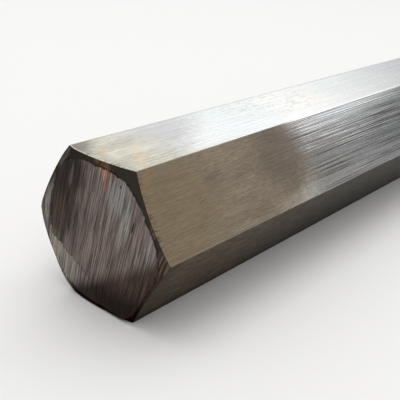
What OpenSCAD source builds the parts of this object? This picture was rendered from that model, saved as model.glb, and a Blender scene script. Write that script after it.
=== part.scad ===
// Hexagonal bar stock: a bright drawn steel bar that lies on one of its flats.
// +X runs along the bar, +Z is up, and the origin is on the floor under the middle of the bar.
// The end at -X is sawn, chamfered all round and ground at one corner. The end at +X is a plain square cut.

/* [Section] */
// Width across flats
across_flats = 50; // [30:1:100]
// Radius that the drawing die leaves on the long edges
edge_radius = 0.4; // [0.1:0.1:2]

/* [Length] */
// Overall length, measured on the long side of the leaning saw cut
bar_length = 500; // [200:10:3000]

/* [Sawn end] */
// Lean of the saw cut out of square, in degrees
saw_lean = 1.1; // [0:0.1:3]
// Slope of the turned chamfer against the saw cut, in degrees
chamfer_slope = 18.5; // [10:0.5:45]
// Width of the chamfer, from the flats inward
chamfer_width = 1.4; // [0.5:0.1:5]
// Width of the ground facet, from its corner inward
facet_width = 13; // [4:0.5:14]
// Slope of the ground facet against a square end, in degrees
facet_slope = 3; // [2:0.5:20]

/* [Plain end] */
// Width of the deburring chamfer, inward from the corners
deburr_width = 0.8; // [0.3:0.1:3]
// Slope of the deburring chamfer, in degrees
deburr_slope = 45; // [20:1:60]

/* [Hidden] */
$fn = 96;

sides = 6;
side_angle = 360 / sides;
half_side = side_angle / 2;
// Corner that the ground facet takes off, as an angle in the section: low, on the +Y side
facet_corner = -side_angle;

flat_r = across_flats / 2;
edge_centre_r = (flat_r - edge_radius) / cos(half_side);
corner_r = edge_centre_r + edge_radius;

// The blank and the cutters reach past the corners by this much
spare = 5;
reach = corner_r + spare;
face_r = flat_r - chamfer_width;
deburr_r = corner_r - deburr_width;
facet_start = corner_r - facet_width;

function direction(angle) = [cos(angle), sin(angle)];

// How far behind the bar's end the saw cut lies, at a place across the section
function saw_depth(across) = (face_r - across) * tan(saw_lean);

// Puts a shape made up the Z axis along the bar, from the sawn end
module along_bar() {
    translate([-bar_length / 2, 0, flat_r])
        rotate([90, 0, 90])
            children();
}

// Hexagon with a flat at its top and bottom and an arc on each corner
module section() {
    corners = [for (i = [0 : sides - 1]) i * side_angle];
    polygon([
        for (a = corners, turn = [-half_side, half_side])
            edge_centre_r * direction(a) + edge_radius * direction(a + turn)
    ]);
    for (a = corners)
        translate(edge_centre_r * direction(a))
            circle(r = edge_radius);
}

// Round blank with its far edge turned off, which leaves a small facet on each corner of the plain end
module deburred_blank() {
    rotate_extrude()
        polygon([
            [0, 0],
            [reach, 0],
            [reach, bar_length - (reach - deburr_r) * tan(deburr_slope)],
            [deburr_r, bar_length],
            [0, bar_length]
        ]);
}

// Cutter for the saw cut and the chamfer turned square to it: the cone leaves a curved scallop on each flat
module sawn_end() {
    cutter_r = 2 * reach;
    translate([face_r, 0, 0])
        rotate([0, saw_lean, 0])
            translate([-face_r, 0, 0])
                rotate_extrude()
                    polygon([
                        [0, -reach],
                        [cutter_r, -reach],
                        [cutter_r, (cutter_r - face_r) * tan(chamfer_slope)],
                        [face_r, 0],
                        [0, 0]
                    ]);
}

// Block whose upper face, at Z = 0, is the plane of the facet
module cut_block() {
    translate([-2 * reach, -2 * reach, -reach])
        cube([4 * reach, 4 * reach, reach]);
}

module ground_facet() {
    start = facet_start * direction(facet_corner);
    translate([start[0], start[1], saw_depth(start[0])])
        rotate([0, 0, facet_corner])
            rotate([0, -facet_slope, 0])
                cut_block();
}

module hex_bar() {
    color([0.62, 0.60, 0.56])
        along_bar()
            difference() {
                intersection() {
                    linear_extrude(height = bar_length) section();
                    deburred_blank();
                }
                sawn_end();
                ground_facet();
            }
}

hex_bar();
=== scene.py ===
# %% [markdown]
# # Bright drawn hexagonal bar
# One piece of steel stock lies on a flat. A die drew its six sides to size and left fine lines along
# them. A saw cut the near end a little out of square, a lathe tool took the rim off, and a grinder one
# corner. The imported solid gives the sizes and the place. This script replaces its plain surface by a
# finer one, and gives each stretch of that surface the finish that its tool left.

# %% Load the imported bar
import math

import bpy
import numpy as np
from mathutils import Matrix, Vector


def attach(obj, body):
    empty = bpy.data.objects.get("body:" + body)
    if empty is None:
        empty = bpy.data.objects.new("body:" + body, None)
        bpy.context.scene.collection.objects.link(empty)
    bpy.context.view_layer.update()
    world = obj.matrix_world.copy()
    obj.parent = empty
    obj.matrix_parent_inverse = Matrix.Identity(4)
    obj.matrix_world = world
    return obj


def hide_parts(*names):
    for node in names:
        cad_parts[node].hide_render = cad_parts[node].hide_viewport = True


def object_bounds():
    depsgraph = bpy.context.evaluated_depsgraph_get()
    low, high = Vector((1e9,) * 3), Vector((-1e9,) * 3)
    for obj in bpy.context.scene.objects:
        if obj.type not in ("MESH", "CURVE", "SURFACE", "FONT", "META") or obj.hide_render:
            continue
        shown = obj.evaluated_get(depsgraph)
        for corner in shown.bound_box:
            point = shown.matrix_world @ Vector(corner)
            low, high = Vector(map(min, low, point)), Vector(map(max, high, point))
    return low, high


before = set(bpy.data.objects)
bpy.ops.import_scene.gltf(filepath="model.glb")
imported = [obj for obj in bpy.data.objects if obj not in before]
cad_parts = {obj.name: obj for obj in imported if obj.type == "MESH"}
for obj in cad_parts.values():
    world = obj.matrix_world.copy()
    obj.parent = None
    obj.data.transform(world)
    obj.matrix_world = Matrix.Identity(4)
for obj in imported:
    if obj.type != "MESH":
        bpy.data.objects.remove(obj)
cad_low, cad_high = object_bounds()
MM = 0.001
print("packed box in mm", [round(v / MM, 2) for v in (*cad_low, *cad_high)])

# %% [markdown]
# ## Sizes from the frame
# A hexagon with rounded edges has two measures: across its flats, and across its rounded corners. Both
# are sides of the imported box, so the radius on the long edges follows from them. If the edge arcs have
# radius e and their centres stand c from the axis, then the flats are c cos 30 + e from the axis and the
# corners are c + e.

# %% Work out the section
SIDES = 6
SIDE_TURN = math.radians(360 / SIDES)
HALF_TURN = SIDE_TURN / 2
near_x = cad_low.x
far_x = cad_high.x
axis_z = (cad_low.z + cad_high.z) / 2
flat_r = (cad_high.z - cad_low.z) / 2
corner_r = (cad_high.y - cad_low.y) / 2
secant = 1 / math.cos(HALF_TURN)
edge_radius = (flat_r * secant - corner_r) / (secant - 1)
edge_centre_r = corner_r - edge_radius
print("across flats", round(2 * flat_r / MM, 2), "mm, edge radius", round(edge_radius / MM, 2), "mm")

# %% [markdown]
# ## Camera
# The camera stands before the sawn end, to the right of the bar and above it, and looks along it and
# down. Its place and its aim are what the long edges and the corners of the end ask for. The picture is
# square, so the focal length in pixels of a 400 pixel frame gives the lens on a 36 mm sensor.

# %% Add the camera
LOOK_TURN = math.radians(-50.47)
LOOK_DROP = math.radians(23.48)
CAMERA_ROLL = math.radians(3.64)
BEFORE_END = 121.2 * MM
RIGHT_OF_AXIS = 140.2 * MM
ABOVE_AXIS = 93.8 * MM
FOCAL_PX = 678.6
FRAME_PX = 400
SENSOR_MM = 36
CLIP_NEAR = 0.01
CLIP_FAR = 50


def add_camera():
    """Sets a camera whose axes are right, up and back, turned by the roll about the line of sight."""
    level = math.cos(LOOK_DROP)
    back = Vector((math.sin(LOOK_TURN) * level, -math.cos(LOOK_TURN) * level, math.sin(LOOK_DROP)))
    level_right = (-back).cross(Vector((0, 0, 1))).normalized()
    level_up = back.cross(level_right)
    right = math.cos(CAMERA_ROLL) * level_right + math.sin(CAMERA_ROLL) * level_up
    up = math.cos(CAMERA_ROLL) * level_up - math.sin(CAMERA_ROLL) * level_right
    lens = bpy.data.cameras.new("camera")
    lens.sensor_width = SENSOR_MM
    lens.lens = SENSOR_MM * FOCAL_PX / FRAME_PX
    lens.clip_start = CLIP_NEAR
    lens.clip_end = CLIP_FAR
    camera = bpy.data.objects.new("camera", lens)
    place = Matrix((right, up, back)).transposed().to_4x4()
    place.translation = (near_x - BEFORE_END, -RIGHT_OF_AXIS, axis_z + ABOVE_AXIS)
    camera.matrix_world = place
    bpy.context.scene.collection.objects.link(camera)
    bpy.context.scene.camera = camera
    return camera


camera = add_camera()
print("lens", round(camera.data.lens, 2), "mm at", [round(v, 4) for v in camera.matrix_world.translation])

# %% [markdown]
# ## Node helpers
# A material is a graph of nodes. These helpers add one node with its settings and what feeds it, so that
# each finish further down reads as a list of steps. The world that lights the bar is such a graph too.


# %% Helpers for node trees
def add_node(tree, kind, feeds=(), **settings):
    """Adds a node. feeds gives its inputs, by name or number, a value or another node's output."""
    made = tree.nodes.new(kind)
    for name, value in settings.items():
        setattr(made, name, value)
    for place, value in dict(feeds).items():
        if isinstance(value, bpy.types.NodeSocket):
            tree.links.new(value, made.inputs[place])
        else:
            made.inputs[place].default_value = value
    return made


def maths(tree, operation, *values):
    """One Math node on the values, in order."""
    return add_node(tree, "ShaderNodeMath", enumerate(values), operation=operation).outputs[0]


def product(tree, first, second):
    """One value times another."""
    return maths(tree, "MULTIPLY", first, second)


def eased(tree, value, start, stop, low=0.0, high=1.0):
    """Goes from low to high as the value goes from start to stop, level at both ends."""
    feeds = {"Value": value, "From Min": start, "From Max": stop, "To Min": low, "To Max": high}
    return add_node(tree, "ShaderNodeMapRange", feeds, interpolation_type="SMOOTHSTEP").outputs["Result"]


def mixed(tree, share, first, second, blend="MIX"):
    """Colour between first and second, by the share of second."""
    feeds = {0: share, 6: first, 7: second}
    made = add_node(tree, "ShaderNodeMix", feeds, data_type="RGBA", blend_type=blend)
    return made.outputs[2]


def grey(level, warm=0.0):
    """Opaque grey of that linear level. warm takes blue down by that share, and green by half of it."""
    return (level, level * (1 - 0.5 * warm), level * (1 - warm), 1.0)


print("node helpers ready")

# %% [markdown]
# ## Floor
# The bar lies on a plain pale floor, which keeps its shadow. It runs out past the view, so that its edge
# never shows. One square face does that. It lies a hair below the bar, so that the two never share a
# plane.

# %% Build the floor
FLOOR_HALF = 8.0
FLOOR_DROP = 0.1 * MM
FLOOR_COLOUR = grey(0.92, 0.01)
FLOOR_ROUGHNESS = 0.8
FLOOR_SHEEN = 0.1


def add_floor():
    """Square of pale floor, just under the bar."""
    side = np.array([-FLOOR_HALF, FLOOR_HALF])
    y, x = np.meshgrid(side, side, indexing="ij")
    points = np.stack([x, y, np.full_like(x, -FLOOR_DROP)], -1).reshape(-1, 3)
    mesh = bpy.data.meshes.new("floor")
    mesh.from_pydata(points.tolist(), [], [(0, 1, 3, 2)])
    material = bpy.data.materials.new("pale_floor")
    material.use_nodes = True
    shader = material.node_tree.nodes["Principled BSDF"]
    shader.inputs["Base Color"].default_value = FLOOR_COLOUR
    shader.inputs["Roughness"].default_value = FLOOR_ROUGHNESS
    shader.inputs["Specular IOR Level"].default_value = FLOOR_SHEEN
    mesh.materials.append(material)
    floor = bpy.data.objects.new("floor", mesh)
    bpy.context.scene.collection.objects.link(floor)


add_floor()
print("floor", 2 * FLOOR_HALF, "m wide")

# %% [markdown]
# ## Light of the room
# Bright steel is mostly the picture of what stands round it. A wall glows softly behind the bar, a
# ceiling over it, a window on its right and the side in front of it, and the rest of the room stays dim.
# So the top flat shows white, the upper right flat turns from dim to bright where it sees the window, and
# the overhang shows its own shade. Panels could stand round the bar for that. Here the world is a few
# nodes, because each glow is then aimed by two angles, and nothing stands in the view. Near the horizon
# it has the floor's tone, so that no seam shows from low down.

# %% Build the world
# Turn and rise of each glow's middle, and the angles from it where the glow ends and where it is full
BACK_GLOW = np.radians([46, 20, 32, 6])
OVER_GLOW = np.radians([10, 70, 58.6, 55.5])
SIDE_GLOW = np.radians([-21.8, 26.4, 13.5, 10.8])
FRONT_GLOW = np.radians([200, 45, 88, 50])
DOORWAY = np.radians([-15, 12, 14, 5])
FRONT_SHARE = 0.5
DOORWAY_SHADE = 0.38
ROOM_EDGE_TURN = math.radians(57)
ROOM_EDGE_SOFT = 0.03
HORIZON_LOW = math.sin(math.radians(3))
HORIZON_HIGH = math.sin(math.radians(8))
HORIZON_COLOUR = grey(0.85, 0.01)
ROOM_COLOUR = grey(0.25, 0.03)
GLOW_COLOUR = grey(1.28)


def bearing(turn, rise):
    """Unit vector at that turn from +X about the upright and that rise over the horizon."""
    return (math.cos(turn) * math.cos(rise), math.sin(turn) * math.cos(rise), math.sin(rise))


def facing(tree, way, middle):
    """Cosine of the angle between the way that is looked and a middle."""
    made = add_node(tree, "ShaderNodeVectorMath", {0: way, 1: middle}, operation="DOT_PRODUCT")
    return made.outputs["Value"]


def glow_of(tree, way, turn, rise, reach, core):
    """1 near the glow's middle and 0 past its reach, by the angle from that middle."""
    return eased(tree, facing(tree, way, bearing(turn, rise)), math.cos(reach), math.cos(core))


def add_world():
    """Room light, over it the brightest of the glows, then a dark doorway far off and the pale horizon.

    The room's edge cuts off the ceiling and the window, and the horizon the wall and the front.
    """
    world = bpy.data.worlds.new("studio")
    world.use_nodes = True
    tree = world.node_tree
    way = add_node(tree, "ShaderNodeTexCoord").outputs["Generated"]
    height = add_node(tree, "ShaderNodeSeparateXYZ", {0: way}).outputs["Z"]
    past_edge = facing(tree, way, bearing(ROOM_EDGE_TURN, 0))
    clear = eased(tree, height, HORIZON_LOW, HORIZON_HIGH)
    back = product(tree, glow_of(tree, way, *BACK_GLOW), clear)
    front = product(tree, glow_of(tree, way, *FRONT_GLOW), clear)
    over = maths(tree, "MAXIMUM", glow_of(tree, way, *OVER_GLOW), glow_of(tree, way, *SIDE_GLOW))
    over = product(tree, over, eased(tree, past_edge, -ROOM_EDGE_SOFT, ROOM_EDGE_SOFT))
    glow = maths(tree, "MAXIMUM", back, over)
    glow = maths(tree, "MAXIMUM", glow, product(tree, front, FRONT_SHARE))
    colour = mixed(tree, glow, ROOM_COLOUR, GLOW_COLOUR)
    shade = product(tree, glow_of(tree, way, *DOORWAY), DOORWAY_SHADE)
    colour = mixed(tree, shade, colour, grey(0))
    colour = mixed(tree, clear, HORIZON_COLOUR, colour)
    tree.links.new(colour, tree.nodes["Background"].inputs["Color"])
    bpy.context.scene.world = world


add_world()
bpy.context.scene.view_settings.view_transform = "Standard"
print("world with", len(bpy.context.scene.world.node_tree.nodes), "nodes")

# %% [markdown]
# ## Lamp
# The world lights the bar from all sides, which makes for a faint shadow. One soft lamp high behind the
# bar lights the floor and deepens the shadow under the overhang. It is wide, so that the shadow's edge
# stays soft.

# %% Add the lamp
LAMP_PLACE = Vector((-0.05, 0.2, 1.25))
LAMP_SIDE = 1.0
LAMP_WATTS = 2.2


def add_lamp():
    """Soft square lamp high behind the bar, aimed at its middle."""
    lamp = bpy.data.lights.new("soft_lamp", "AREA")
    lamp.size = LAMP_SIDE
    lamp.energy = LAMP_WATTS
    holder = bpy.data.objects.new("soft_lamp", lamp)
    holder.location = LAMP_PLACE
    holder.rotation_mode = "QUATERNION"
    holder.rotation_quaternion = (-LAMP_PLACE).to_track_quat("-Z", "Y")
    bpy.context.scene.collection.objects.link(holder)


add_lamp()
print("lamp", LAMP_WATTS, "W,", LAMP_SIDE, "m wide")

# %% [markdown]
# ## Columns round the section
# The whole surface is one grid: columns run the length of the bar, and rows run round it. A point of the
# section is a complex number, y + iz from the axis, because turning and scaling are then one product. The
# columns crowd on the long edges, where the die's radius needs them. Their number is a multiple of 4, so
# that a square grid can close the end, as the next steps show.

# %% Place the columns
ARC_STEPS = 6
FLAT_STEPS = 122
COLUMNS = SIDES * (ARC_STEPS + FLAT_STEPS)


def hexagon_columns():
    """Points round the hexagon: c e^(ik60) + e e^(ia) on each corner's arc, then straight to the next arc."""
    corner = SIDE_TURN * np.arange(SIDES)[:, None]
    turn = np.linspace(-HALF_TURN, HALF_TURN, ARC_STEPS + 1)
    arcs = edge_centre_r * np.exp(1j * corner) + edge_radius * np.exp(1j * (corner + turn))
    share = np.arange(1, FLAT_STEPS) / FLAT_STEPS
    following = np.roll(arcs[:, :1], -1, axis=0)
    flats = arcs[:, -1:] * (1 - share) + following * share
    return np.roll(np.concatenate([arcs, flats], 1).ravel(), -(ARC_STEPS // 2))


def closed(values, last=None):
    """The values with the first again at the end, or with the given last one."""
    return np.append(values, values[0] if last is None else last)


outline = hexagon_columns()
outline_r = np.abs(outline)
angle = np.unwrap(np.angle(outline))
girth = np.append(0, np.cumsum(np.abs(np.diff(closed(outline)))))
print(COLUMNS, "columns, girth", round(girth[-1] / MM, 1), "mm")

# %% [markdown]
# ## Shape of the sawn end
# Three tools met here. The saw left a plane that leans about a degree. A chamfer follows it round, as a
# shallow cone whose inner rim is ragged. A second, flatter cut took the low corner on the left, with a
# torn edge. Each is a depth behind the bar's end, and the deepest one is the surface.

# %% Set out the saw cut, the chamfer and the facet
SAW_LEAN = math.radians(1.1)
CHAMFER_SLOPE = math.radians(18.6)
CHAMFER_WIDTH = 1.4 * MM
FACET_SLOPE = math.radians(3)
FACET_TURN = math.radians(-60)
FACET_START = 15.6 * MM
face_r = flat_r - CHAMFER_WIDTH
facet_way = np.exp(1j * FACET_TURN)


def saw_depth(spot):
    """Deepens by the saw's lean with the distance to the right, and is 0 at the left of the sawn face."""
    return (face_r - spot.real) * math.tan(SAW_LEAN)


def cone_depth(spot):
    """Deepens from the saw cut by the chamfer's slope, with the distance from the axis past its start."""
    return saw_depth(spot) + (np.abs(spot) - face_r) * math.tan(CHAMFER_SLOPE)


def facet_depth(spot):
    """Deepens by the facet's slope with the distance past its start, towards the low corner."""
    reach = (spot * np.conj(facet_way)).real
    return saw_depth(FACET_START * facet_way) + (reach - FACET_START) * math.tan(FACET_SLOPE)


print("chamfer starts", round(face_r / MM, 1), "mm from the axis, facet", round(FACET_START / MM, 1), "mm")

# %% [markdown]
# ## Ragged rims
# Where the saw cut meets the chamfer and the facet, the metal tore, so neither rim is a clean curve. The
# reach of the sawn face is eased from corner to flat to corner, and waves of several pitches make it
# ragged. Whole waves go round the bar, so that the rim closes on itself.

# %% Draw the rims of the sawn face
# Reach of the sawn face from the axis, at the corners and flats in turn from the left corner
SAWN_REACH = MM * np.array([21.2, 22.2, 25.0, 23.1, 24.4, 23.9, 25.6, 24.2, 26.6, 23.7, 24.5, 22.9])
RIM_LEAST = 0.7 * MM
RIM_RAGGED = 0.45 * MM
RIM_WAVES = np.array([9, 17, 29, 47, 79])
FACET_RAGGED = 0.75 * MM
FACET_PITCHES = MM * np.array([11.0, 5.3, 3.1, 1.7, 1.1])
# Turn from the facet's middle past which its line counts as far off
FACET_HALF_TURN = 1.35


def soft_step(share):
    """Level at 0 and 1, and smooth between."""
    return share * share * (3 - 2 * share)


def round_the_bar(values, turn):
    """Values that stand at equal turns, eased from each to the next."""
    place = turn / (2 * math.pi) * len(values)
    low = np.floor(place).astype(int)
    share = soft_step(place - low)
    return values[low % len(values)] * (1 - share) + values[(low + 1) % len(values)] * share


def waves(place, pitches, seed):
    """Mean of sine waves of those pitches, each with a phase of its own."""
    phase = np.random.default_rng(seed).uniform(0, 2 * math.pi, len(pitches))
    return np.sin(2 * math.pi * np.asarray(place)[..., None] / pitches + phase).mean(-1)


def facet_line(turn):
    """Distance from the axis to the facet's torn edge: a wavy straight line, far off on the other sides."""
    off = np.angle(np.exp(1j * (turn - FACET_TURN)))
    off = np.clip(off, -FACET_HALF_TURN, FACET_HALF_TURN)
    along = FACET_START * np.tan(off)
    return (FACET_START + FACET_RAGGED * waves(along, FACET_PITCHES, seed=5)) / np.cos(off)


ragged = RIM_RAGGED * waves(angle, 2 * math.pi / RIM_WAVES, seed=11)
rim_r = np.minimum(round_the_bar(SAWN_REACH, angle) + ragged, outline_r - RIM_LEAST)
sawn_r = np.minimum(rim_r, facet_line(angle))
sawn_span = np.array([sawn_r.min(), sawn_r.max()]) / MM
print("sawn face reaches", sawn_span.round(1), "mm from the axis, least and most")

# %% [markdown]
# ## Saw marks
# The blade's teeth left grooves that run the same way across the whole face, leaning a little from
# upright. They are a height over two coordinates, along the cut and across it: a few trains of waves that
# wander, and some single gouges. They are made as real relief, deep enough to catch the light and to show
# in the mesh.

# %% Work out the relief of the cut
CUT_LEAN = math.radians(14)
cut_way = np.exp(1j * (math.pi / 2 + CUT_LEAN))
MARK_PITCHES = MM * np.array([0.95, 1.3, 1.9, 2.7, 4.3, 7.1])
MARK_DEPTHS = MM * np.array([0.010, 0.014, 0.018, 0.022, 0.028, 0.034])
# A train of waves fades in and out along the cut, by this share and over this many pitches
MARK_FADE = 0.4
FADE_RUN = 19
MARK_SEED = 7
WANDER = 0.35 * MM
WANDER_PITCHES = MM * np.array([47.0, 29.0, 17.0])
GOUGES = 26
GOUGE_WIDTH = (0.22 * MM, 0.5 * MM)
GOUGE_HALF = (4 * MM, 16 * MM)
GOUGE_DEPTH = (0.04 * MM, 0.13 * MM)


def cut_coordinates(spot):
    """Distance along the cut and across it."""
    turned = spot * np.conj(cut_way)
    return turned.real, turned.imag


def saw_marks(spot):
    """Depth of the marks: the sum of a_k sin(2 pi across / p_k), which fade along the cut, and of the gouges.

    A gouge is exp(-(d / w)^2) at the distance d from its middle line, and runs out at both ends.
    """
    along, across = cut_coordinates(spot)
    across = across + WANDER * waves(along, WANDER_PITCHES, seed=3)
    draw = np.random.default_rng(MARK_SEED)
    phase = draw.uniform(0, 2 * math.pi, (2, len(MARK_PITCHES)))
    swell = np.sin(2 * math.pi * along[..., None] / (FADE_RUN * MARK_PITCHES) + phase[0])
    fade = 1 - MARK_FADE + MARK_FADE * swell
    trains = np.sin(2 * math.pi * across[..., None] / MARK_PITCHES + phase[1])
    depth = (MARK_DEPTHS * fade * trains).sum(-1)
    middle_across = draw.uniform(-face_r, face_r, GOUGES)
    middle_along = draw.uniform(-face_r, face_r, GOUGES)
    half = draw.uniform(*GOUGE_HALF, GOUGES)
    width = draw.uniform(*GOUGE_WIDTH, GOUGES)
    deep = draw.uniform(*GOUGE_DEPTH, GOUGES)
    near = np.exp(-(((across[..., None] - middle_across) / width) ** 2))
    run = soft_step(np.clip(1 - np.abs(along[..., None] - middle_along) / half, 0, 1))
    return depth + (deep * near * run).sum(-1)


print("saw marks lean", round(math.degrees(CUT_LEAN)), "degrees from upright, with", GOUGES, "gouges")

# %% [markdown]
# ## A grid that closes an end
# Rings about a centre would crowd their points there. Instead a square grid is bent to the outline: each
# square ring of the grid becomes one ring of the face, so the cells stay about the same size and no pole
# is left. A point's ring is the larger of its two grid distances, and its place round that ring picks the
# column.

# %% Bend square grids to the outline
GRID_SIDES = 4
ON_BORDER = 1 - 1e-9


def bent_grid(steps):
    """Share of the way out, and place in columns of 4 * steps, for each point of a square grid."""
    half = steps / 2
    line = np.arange(steps + 1) - half
    a, b = np.meshgrid(line, line, indexing="ij")
    ring = np.maximum(np.abs(a), np.abs(b))
    scale = half / np.where(ring > 0, ring, half)
    on_sides = np.abs(a) >= np.abs(b)
    sides = np.where(a >= 0, b * scale, 4 * half - b * scale)
    ends = np.where(b >= 0, 2 * half - a * scale, 6 * half + a * scale)
    return ring / half, np.where(on_sides, sides, ends) % (8 * half)


def grid_spots(share, place, turns, reach):
    """Points of a bent grid, out to the reach at each column."""
    columns = np.arange(len(turns) + 1)
    turn = np.interp(place, columns, closed(turns, 2 * math.pi))
    return share * np.interp(place, columns, closed(reach)) * np.exp(1j * turn)


def grid_quads(steps, first):
    """Faces of a square grid whose points are numbered from first, facing along +X."""
    number = first + np.arange((steps + 1) ** 2).reshape(steps + 1, steps + 1)
    corners = [number[:-1, :-1], number[1:, :-1], number[1:, 1:], number[:-1, 1:]]
    return np.stack(corners, -1).reshape(-1, 4)


def grid_border(share, place, first):
    """Numbers of the grid's border points, in the order of their columns."""
    number = first + np.flatnonzero(share.ravel() > ON_BORDER)
    order = np.argsort(np.round(place.ravel()[number - first]))
    return number[order]


FACE_STEPS = COLUMNS // GRID_SIDES
FAR_SKIP = 2
FAR_STEPS = FACE_STEPS // FAR_SKIP
face_share, face_place = bent_grid(FACE_STEPS)
face_spots = grid_spots(face_share, face_place, angle, sawn_r)
face_marks = saw_marks(face_spots)
face_x = near_x + saw_depth(face_spots) + face_marks
print("sawn face", face_x.size, "points, marks", (np.ptp(face_marks) / MM).round(3), "mm deep in all")

# %% [markdown]
# ## Rows from the sawn face to the plain end
# The chamfer's rows run from the sawn rim to the outline, and the flats' rows run down the bar. Between
# them a narrow band breaks the edge, as a real edge is never quite sharp. At the plain end a deburring
# cut takes the corners off. Each row has every column, so the rows join into one skin.

# %% Place the rows
EDGE_BREAK = 0.12 * MM
LIP_WIDTH = 0.3 * MM
LIP_SHARES = np.array([0.12, 0.3, 0.5, 0.7, 0.88, 1.0])[:, None]
CHAMFER_SHARES = np.array([0.1, 0.25, 0.45, 0.65, 0.82, 0.93, 1.0])[:, None]
NEAR_SHARES = [0, 0.0006, 0.002, 0.006, 0.015]
MIDDLE_SHARES = np.linspace(0.04, 0.96, 14)
LAST_SHARES = [0.99, 0.998, 1]
LENGTH_SHARES = np.concatenate([NEAR_SHARES, MIDDLE_SHARES, LAST_SHARES])[:, None]
DEBURR_WIDTH = 0.8 * MM
DEBURR_LEAST = 0.15 * MM
FAR_SHARES = np.array([1.0, 0.99])[:, None]

# Extra depth where the rim's corners are worn, in turn from the left corner
CORNER_WEAR = MM * np.array([0.25, 0.6, 0.1, 0.1, 0.1, 0.5])
WEAR_HALF = 2.2 * MM

way = np.exp(1j * angle)
to_corner = np.abs(outline - corner_r * np.exp(1j * SIDE_TURN * np.arange(SIDES))[:, None])
worn = (CORNER_WEAR[:, None] * np.exp(-((to_corner / WEAR_HALF) ** 2))).sum(0)
rim_out = np.maximum(cone_depth(outline), facet_depth(outline)) + worn
rim_depth = saw_depth(rim_r * way)
sawn_marks = saw_marks(sawn_r * way)
rim_slope = (rim_out - rim_depth) / (outline_r - rim_r)

# The facet meets the chamfer where both are as deep. Away from the facet a narrow lip takes its place.
facet_rise = facet_depth(way) - facet_depth(0 * way)
crease_r = (facet_depth(0 * way) - rim_depth + rim_slope * rim_r) / (rim_slope - facet_rise / np.abs(way))
crease_r = np.clip(crease_r, sawn_r + LIP_WIDTH, outline_r - EDGE_BREAK - LIP_WIDTH)
lip_r = sawn_r + (crease_r - sawn_r) * LIP_SHARES
slope_r = crease_r + (outline_r - EDGE_BREAK - crease_r) * CHAMFER_SHARES
chamfer_spots = np.concatenate([lip_r, slope_r]) * way
turned_depth = rim_depth + (np.abs(chamfer_spots) - rim_r) * rim_slope
ground_depth = facet_depth(chamfer_spots)
sawn_depth = saw_depth(chamfer_spots)
chamfer_depth = np.maximum(np.maximum(turned_depth, ground_depth), sawn_depth)
mark_fade = np.concatenate([1 - LIP_SHARES, 0 * CHAMFER_SHARES])
chamfer_x = near_x + chamfer_depth + sawn_marks * mark_fade

far_break = np.maximum(DEBURR_LEAST, outline_r - (corner_r - DEBURR_WIDTH))
flats_start = near_x + rim_out + EDGE_BREAK
flats_x = flats_start + (far_x - far_break - flats_start) * LENGTH_SHARES
flats_spots = np.broadcast_to(outline, flats_x.shape)

far_spots = (outline_r - far_break) * FAR_SHARES * way
far_rows_x = np.full(far_spots.shape, far_x)
print("rows on the chamfer, the flats and the far rim:", len(chamfer_spots), len(flats_spots), len(far_spots))

# %% [markdown]
# ## Plain end
# The far end is a plain square saw cut with finer, straighter marks, as stock is sold. Its grid has every
# second column, and one ring of five-sided faces joins it to the last row.

# %% Close the plain end
FAR_CUT_LEAN = math.radians(-38)
far_cut_way = np.exp(1j * (math.pi / 2 + FAR_CUT_LEAN))
FAR_PITCHES = MM * np.array([1.9, 3.1, 4.7, 8.3])
FAR_DEPTH = 0.02 * MM
FAR_GRID_SHARE = 0.975
# The marks are full from one part in this many of the way in from the rim
FAR_FADE = 12

far_share, far_place = bent_grid(FAR_STEPS)
far_reach = (np.abs(far_spots[0]) * FAR_GRID_SHARE)[::FAR_SKIP]
far_grid_spots = grid_spots(far_share, far_place, angle[::FAR_SKIP], far_reach)
far_across = (far_grid_spots * np.conj(far_cut_way)).imag
far_fade = soft_step(np.clip((1 - far_share) * FAR_FADE, 0, 1))
far_grid_x = far_x - FAR_DEPTH * far_fade * (1 + waves(far_across, FAR_PITCHES, seed=21))
print("plain end", far_grid_x.size, "points")

# %% [markdown]
# ## One closed mesh
# The points of all the parts go into one list, in order, and the faces number them. Every quad of a strip
# takes a step round the bar and then a step down it, which makes it face outwards. The two ends are
# grids, and they close the skin.


# %% Join the parts
def strip_quads(rows):
    """Faces between following rows of point numbers: one step round, then one step down."""
    after = np.roll(rows, -1, axis=1)
    return np.stack([rows[:-1], after[:-1], after[1:], rows[1:]], -1)


def places_of(x, spots):
    """Points from places along the bar and spots of the section."""
    return np.stack([x, spots.real, axis_z + spots.imag], -1).reshape(-1, 3)


row_spots = np.concatenate([chamfer_spots, flats_spots, far_spots])
row_x = np.concatenate([chamfer_x, flats_x, far_rows_x])
row_first = face_x.size
far_first = row_first + row_x.size
points = np.concatenate([
    places_of(face_x, face_spots), places_of(row_x, row_spots), places_of(far_grid_x, far_grid_spots)
])

face_rim = grid_border(face_share, face_place, 0)
far_rim = grid_border(far_share, far_place, far_first)
rows = np.concatenate([face_rim[None], row_first + np.arange(row_x.size).reshape(row_x.shape)])
face_quads = grid_quads(FACE_STEPS, 0)[:, ::-1]
strips = strip_quads(rows)
far_quads = grid_quads(FAR_STEPS, far_first)
last = rows[-1]
last_after = np.roll(last, -1)
last_second = np.roll(last, -FAR_SKIP)
far_after = np.roll(far_rim, -1)
joins = np.stack([last[::FAR_SKIP], last_after[::FAR_SKIP], last_second[::FAR_SKIP], far_after, far_rim], -1)

quads = np.concatenate([face_quads, strips.reshape(-1, 4), far_quads])
faces = quads.tolist() + joins.tolist()
print(len(points), "points,", len(faces), "faces,", 2 * len(quads) + 3 * len(joins), "triangles")

# %% [markdown]
# ## Finish of each face
# Each face belongs to the tool that left it. On the slope it is the facet's where the facet is the deeper
# cut. The broken edge goes with the chamfer, but on the top it goes with the flat, because it is bright
# there.

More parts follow.
